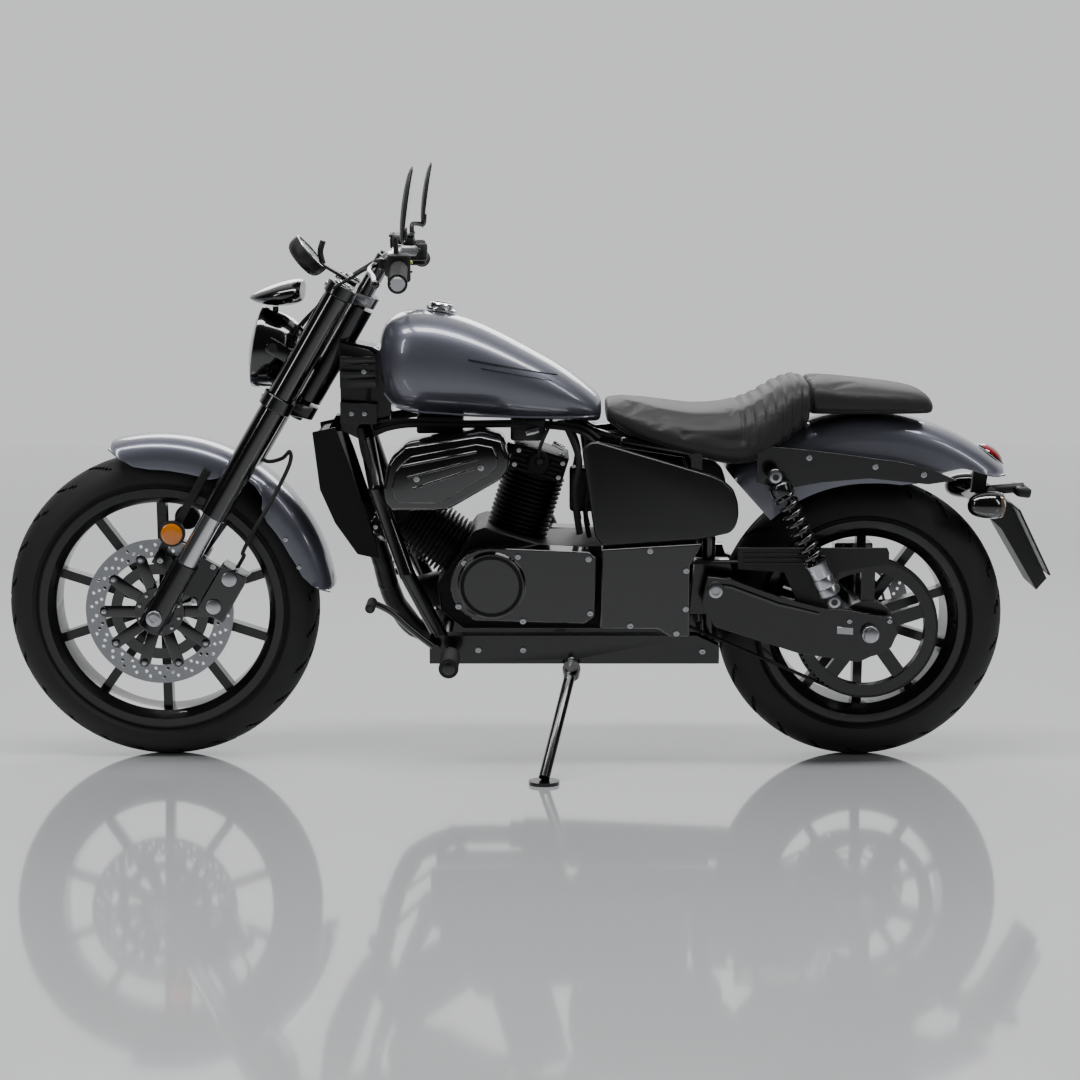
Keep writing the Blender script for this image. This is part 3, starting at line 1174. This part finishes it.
exhaust = {
    "pipe": 21,
    "front": [(-323, 24, 467), (-336, 24, 448), (-324, 40, 404), (-314, 60, 350), (-300, 90, 300),
              (-264, 140, 234), (-184, 192, 203), (-60, 204, 200)],
    "rear": [(-34, 62.4, 600), (-34, 116, 592), (-14, 176, 524), (22, 205, 430), (12, 208, 345),
             (34, 207, 302), (72, 206, 296)],
    "mufflers": (((-62, 204, 200), (424, 206, 222)), ((66, 206, 296), (440, 208, 308))),
    "flanges": (((-34, 62, 600), (-34, 74, 600)), ((-323, 24, 467), (-330, 24, 458))),
}


def makeExhaust():
    bm = bmesh.new()
    for header in ("front", "rear"):
        addTube(bm, exhaust[header], exhaust["pipe"], 24)
    for a, b in exhaust["mufflers"]:
        place, length = between(a, b)
        half = length / 2
        front = [(21, 0), (30, 4), (30, 22), (37, 36), (38, 42)]
        rear = [(38, 16), (37, 12), (37.6, 8), (36, 1), (30, 0), (22, 1), (20, 8), (20, 70)]
        addSpun(bm, [(r, -half + z) for r, z in front] + [(r, half - z) for r, z in rear], 64, place)
        for z in (-half + 60, half - 40):
            addSpun(bm, [(38, z), (39.4, z + 1), (39.4, z + 11), (38, z + 12)], 64, place, closed=True)
    finishPiece("exhaustPipes", bm, "exhaust_black", angle=40, replaces=("exhaust",))
    bm = bmesh.new()
    for a, b in exhaust["flanges"]:
        addSpun(bm, [(22, -5), (30, -4), (30, 4), (22, 5)], 32, between(a, b)[0], closed=True)
    finishPiece("exhaustFlanges", bm, "axle_steel")


makeExhaust()


grille = {"front": [(-440, 682), (-430, 574), (-404, 514)], "half": 68, "pitch": 6, "fin": 1.5,
          "tube": 1.6, "apart": 20}


def makeRadiator():
    bm = bmesh.new()
    front, half = grille["front"], grille["half"]
    for (x0, z0), (x1, z1) in zip(front, front[1:]):
        count = int(math.hypot(x1 - x0, z1 - z0) / grille["pitch"])
        for i in range(count):
            t = (i + 0.5) / count
            x, z = x0 + (x1 - x0) * t - 1, z0 + (z1 - z0) * t
            addRod(bm, (x, -half, z), (x, half, z), grille["fin"], sides=6)
    for y in range(-60, 61, grille["apart"]):
        addTube(bm, [(x - 2, y, z) for x, z in front], grille["tube"], 6, smooth=False)
    finishPiece("radiatorGrille", bm, "radiator_black")


makeRadiator()


def makeEngineDetails():
    bm, lead, bright = bmesh.new(), bmesh.new(), bmesh.new()
    for tilt in (bike["frontTilt"], bike["rearTilt"]):
        place = upright(bike["crank"]) @ turned(tilt, "Y")
        for side in (-1, 1):
            for z in (241, 251, 261, 271, 281):
                addBox(bm, (104, 6, 3.6), place @ shifted(0, side * 64, z), 1)
            cap = [(0, 0), (22, 0), (24, 2), (24, 6), (20, 9), (0, 9)]
            addSpun(bm, cap, 32, place @ shifted(0, side * 62, 262) @ facing(side))
            for dx in (-46, 46):
                for z in (246, 276):
                    addBolt(bright, place @ shifted(dx, side * 67, z) @ facing(side), 5, 5)
        for dx in (-40, 40):
            for y in (-44, 44):
                addBolt(bright, place @ shifted(dx, y, 287), 6, 5)
        addRod(lead, place @ Vector((0, -70, 262)), place @ Vector((0, -84, 268)), 8, 6)
    addTube(lead, [(0, -84, 638), (6, -92, 664), (20, -80, 694), (26, -40, 704)], 4, 10)
    # Ribs on the right cover and round cap rings on both
    for side, x, z, level, r in ((-1, -92, 391, -165, 66), (1, -70, 389, 159, 62)):
        face = shifted(x, level, z) @ facing(side)
        addSpun(bm, [(r - 12, -1), (r - 11, 2.4), (r - 5, 2.4), (r - 4, -1)], 72, face, closed=True)
    for i in range(5):
        addRod(bm, (112, 146, 352 + i * 18), (172, 146, 352 + i * 18), 3, sides=10)
    oilFilter = [(0, 0), (34, 0), (36, 3), (36, 50), (32, 56), (0, 56)]
    addSpun(bm, oilFilter, 48, shifted(-196, 40, 345) @ turned(-105, "Y"))
    finishPiece("engineRibs", bm, "engine_black")
    finishPiece("plugLeads", lead, "rubber_black", angle=50)
    finishPiece("engineBolts", bright, "axle_steel")


makeEngineDetails()


# Routes on the right, mirrored for the left. The loom's rows end with how much less its strands part there
harness = {
    "loom": [(-330, 40, 690, 1), (-262, 66, 704, 2), (-150, 72, 703, 3), (-20, 62, 702, 3),
             (80, 50, 690, 2), (124, 60, 660, 1)],
    "strands": [(0, 0, 6), (10, -9, 5), (4, 12, 4)],
    "hoses": [
        (7, [(60, 60, 690), (82, 74, 630), (74, 80, 560), (84, 78, 480)]),
        (5, [(96, 50, 684), (104, 58, 600), (96, 62, 520), (104, 60, 470)]),
        (6, [(-348, 64, 668), (-330, 84, 600), (-300, 92, 520), (-262, 96, 470)]),
        (8, [(-356, 50, 690), (-346, 66, 640), (-322, 70, 580), (-310, 66, 520)]),
    ],
}


# Wiring, coil and hoses that fill the dark space under the tank and behind the rear cylinder
def makeHarness():
    rubber, box, metal = bmesh.new(), bmesh.new(), bmesh.new()
    for side in (-1, 1):
        for dy, dz, r in harness["strands"]:
            addTube(rubber, [(x, side * (y + dy), z + dz / part) for x, y, z, part in harness["loom"]], r, 10)
        for r, route in harness["hoses"]:
            addTube(rubber, [mirrored(point, side) for point in route], r, 12)
    addBox(box, (92, 70, 34), shifted(-196, -40, 700), 5, 3)
    addBox(box, (70, 60, 44), shifted(-20, -44, 690), 6, 3)
    addBox(box, (56, 50, 90), shifted(92, 0, 560), 8, 3)
    addRod(metal, (-24, -78, 684), (2, -78, 690), 7, round=1)
    addRod(metal, (30, -70, 664), (52, -70, 652), 5, round=1)
    for x, z in ((-346, 806), (-346, 722), (-372, 722)):
        addBolt(metal, shifted(x, -62, z) @ facing(-1), 5, 5)
    finishPiece("underTankHoses", rubber, "rubber_black", angle=50)
    finishPiece("underTankBoxes", box, "black_plastic")
    finishPiece("hoseClips", metal, "axle_steel")


makeHarness()
print("engine details made")
# The tail light sits on the fender, by angle and distance about the rear axle
tail = {"angle": 52.5, "radius": 420.3, "flat": 0.6, "lens": 32, "signal": (853, 116, 546),
        "plate": (961, 0, 526),
        "slope": (72, 142), "size": (216, 146)}


def makeTail():
    bm = bmesh.new()
    place = (rearLocal @ turned(tail["angle"], "Z") @ shifted(tail["radius"], 0, 0) @ turned(90, "Y")
             @ stretched(1, 1, tail["flat"]))
    bmesh.ops.create_uvsphere(bm, u_segments=40, v_segments=24, radius=tail["lens"])
    bmesh.ops.bisect_plane(bm, geom=bm.verts[:] + bm.edges[:] + bm.faces[:], plane_co=(0, 0, 7.2),
                           plane_no=(0, 0, -1),
                           clear_outer=True)
    bmesh.ops.holes_fill(bm, edges=bm.edges)
    bmesh.ops.transform(bm, matrix=place, verts=bm.verts)
    finishPiece("tailLens", bm, "red_lens", angle=40, replaces=("tail_light",))
    bm = bmesh.new()
    addSpun(bm, [(30.2, 7), (33.5, 6.6), (34, 9), (33, 11.5), (30.6, 12)], 48, place, closed=True)
    finishPiece("tailBezel", bm, "cover_black")
    body, lens, plate, rim = (bmesh.new() for _ in range(4))
    for side in (-1, 1):
        spot = shifted(*mirrored(tail["signal"], side)) @ turned(90, "Y")
        bowl = [(0, 0), (9, 1.6), (15, 5), (20, 11), (23.5, 20), (26, 32), (27, 44), (27, 60), (25.5, 62),
                (0, 62)]
        addSpun(body, bowl, 48, spot)
        addSpun(lens, [(0, 62.2), (25, 62.2), (25.6, 64), (24.4, 69), (20, 72), (11, 73.6), (0, 74)], 48,
                spot)
        addRod(body, (905, side * 56, 546), (905, side * 98, 546), 9, sides=20)
    finishPiece("signalBodies", body, "cover_black", angle=40, replaces=("rear_signals",))
    finishPiece("signalLenses", lens, "amber_lens", look=looks["smoked_lens"])
    tiltPlate = shifted(*tail["plate"]) @ turned(-math.degrees(math.atan2(*tail["slope"])), "Y")
    addBox(plate, (1.6, *tail["size"]), tiltPlate @ shifted(1.3, 0, -65), 0.5)
    finishPiece("blankPlate", plate, "plate_white", replaces=("number_plate",))
    for y, z, sy, sz in ((0, 8.5, 220, 3), (0, -138.5, 220, 3), (-108.5, -65, 3, 150), (108.5, -65, 3, 150)):
        addBox(rim, (4, sy, sz), tiltPlate @ shifted(1.6, y, z), 0.8)
    for y in (-44, 44):
        addBolt(rim, tiltPlate @ shifted(2, y, -8) @ turned(90, "Y"), 5, 3)
    addBox(rim, (30, 70, 20), shifted(985, 0, 556) @ turned(8, "Y"), 6, 3)
    finishPiece("plateSurround", rim, "black_plastic")


makeTail()


peg = {"place": (-173, 254), "out": 176, "plate": 128.3}
pedal = {"x": -204, "z": 262, "shift": [(-204, -152, 262), (-250, -156, 300), (-290, -161, 338),
                                        (-326, -166, 358)],
         "brake": [(-204, 238, 262), (-250, 240, 298), (-290, 240, 326), (-334, 236, 346)]}
standSpring = {"from": (67, -146, 240), "to": (52, -196, 172), "radius": 5, "turns": 16, "wire": 1.3}


def makeFeet():
    rubber, metal, coil = bmesh.new(), bmesh.new(), bmesh.new()
    for side in (-1, 1):
        (x, z), plate = peg["place"], side * peg["plate"]
        face = shifted(x, side * peg["out"], z) @ facing(side)
        ribs = [(8, 4)] + [(19 if i % 2 else 16, 6 + i * 4) for i in range(24)] + [(19.5, 102), (19.5, 105),
                                                                                   (8, 105)]
        addSpun(rubber, ribs, 28, face, closed=True)
        addRod(metal, (x, plate, z), (x, side * 182, z), 14, round=1.5)
        addDrum(metal, 13, 4, shifted(x, side * 281, z) @ facing(-1), round=1)
        addRod(metal, (pedal["x"], plate, pedal["z"]), (pedal["x"], -160 if side < 0 else 244, pedal["z"]), 9)
    for lever in ("shift", "brake"):
        addTube(metal, pedal[lever], 7, 14)
    addSpun(rubber, [(5, 0)] + [(10 if i % 2 else 8.6, 1 + i * 4) for i in range(16)] + [(9, 64), (5, 65)],
            20,
            shifted(-328, -162, 360) @ facing(-1), closed=True)
    addRod(metal, (-328, -160, 360), (-328, -228, 360), 5)
    addBox(metal, (40, 56, 6), shifted(-332, 240, 348), 2)
    for i in range(5):
        addBox(rubber, (34, 5, 4), shifted(-332, 220 + i * 10, 352), 1.2)
    finishPiece("pegRubbers", rubber, "rubber_black", angle=50, replaces=("foot_controls",))
    finishPiece("footLevers", metal, "frame_black", angle=50)
    # Return spring beside the stand's leg
    place, length = between(standSpring["from"], standSpring["to"])
    path = coilPath(standSpring["radius"], standSpring["turns"], -length / 2, length / 2)
    addTube(coil, path, standSpring["wire"], 8, False, place)
    finishPiece("standSpring", coil, "axle_steel", "stand", 60)


makeFeet()


def makeRearDetails():
    bm, plate = bmesh.new(), bmesh.new()
    for z in (430, 440, 450):
        addRod(bm, (408, -130, z), (556, -130, z), 2.2, sides=10)
    for side in (-1, 1):
        addPlate(bm, [(352, 396), (384, 392), (480, 356), (560, 336), (560, 330), (478, 348), (382, 384),
                      (352, 388)],
                 side * 151, side * 155, 1.5, 2)
    finishPiece("armRibs", bm, "cover_black")
    addPlate(plate, [(596, 306), (628, 304), (628, 290), (596, 292)], -152, -153, 0.3, 1)
    finishPiece("blankLabel", plate, "plate_white", look=looks["axle_steel"])
    bm = bmesh.new()
    for i in range(72):
        addBox(bm, (4, 5, 20), turned(i * 5, "Z") @ shifted(140.5, 0, 107), 0)
    finishPiece("pulleyTeeth", bm, "rim_black", "rear_wheel", place=rearWheelFrame)


makeRearDetails()
print("tail and feet made")
